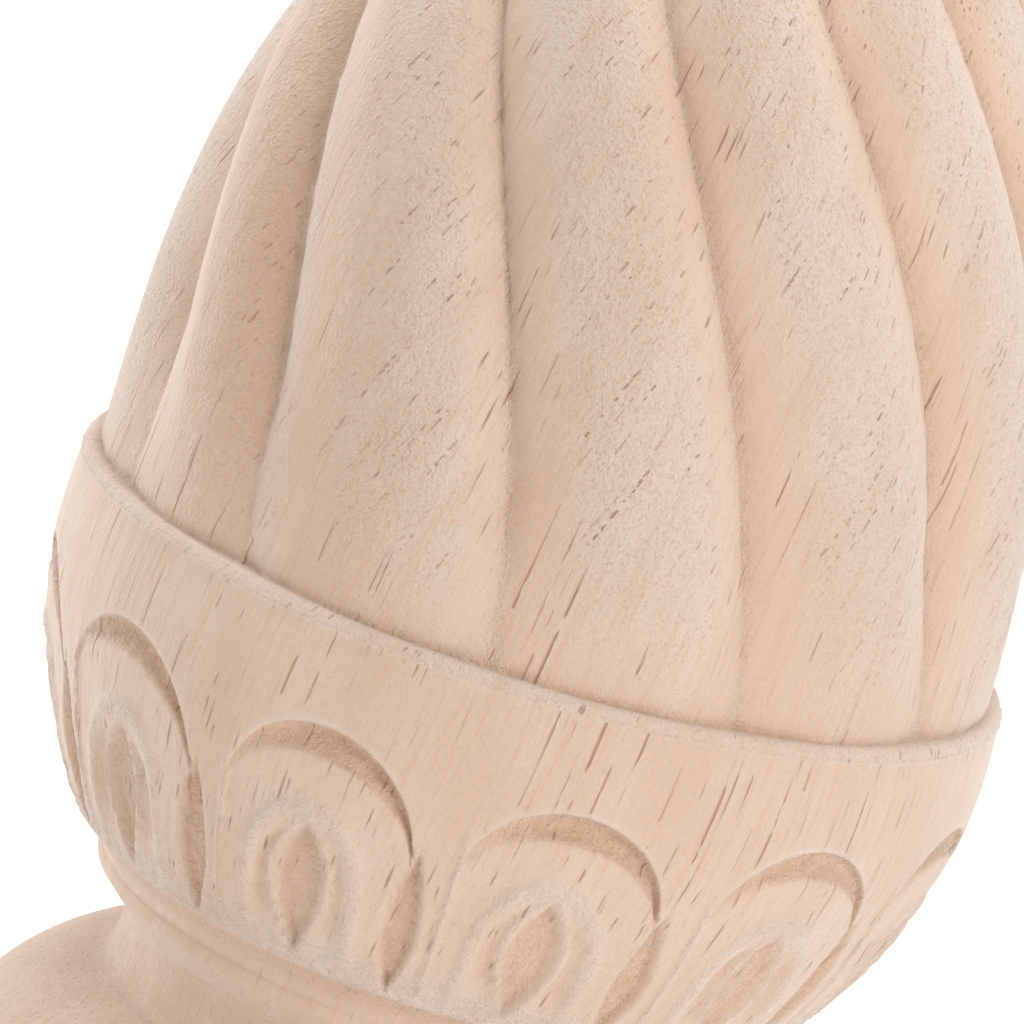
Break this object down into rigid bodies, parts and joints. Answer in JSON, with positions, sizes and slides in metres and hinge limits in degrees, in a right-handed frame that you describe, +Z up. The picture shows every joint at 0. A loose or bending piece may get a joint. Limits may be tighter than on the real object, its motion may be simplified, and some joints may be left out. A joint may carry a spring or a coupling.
{
  "type": "carved wooden post cap",
  "caption": "Turned and carved post cap of bare wood: a twisted, lobed bulb in a cup of arched petals, on a narrow neck and a round foot.",
  "frame": {"origin": "centre of the flat underside", "axes": "+Z up along the turning axis, towards the tip of the bulb; -Y faces a groove between two petals"},
  "size_m": [0.08, 0.08, 0.1506],
  "materials": {
    "bare_wood": "bare sanded hardwood, matt, pale pinkish beige with short dark pores along the grain"
  },
  "bodies": {
    "root": {"post_cap": "bare_wood"}
  },
  "joints": []
}
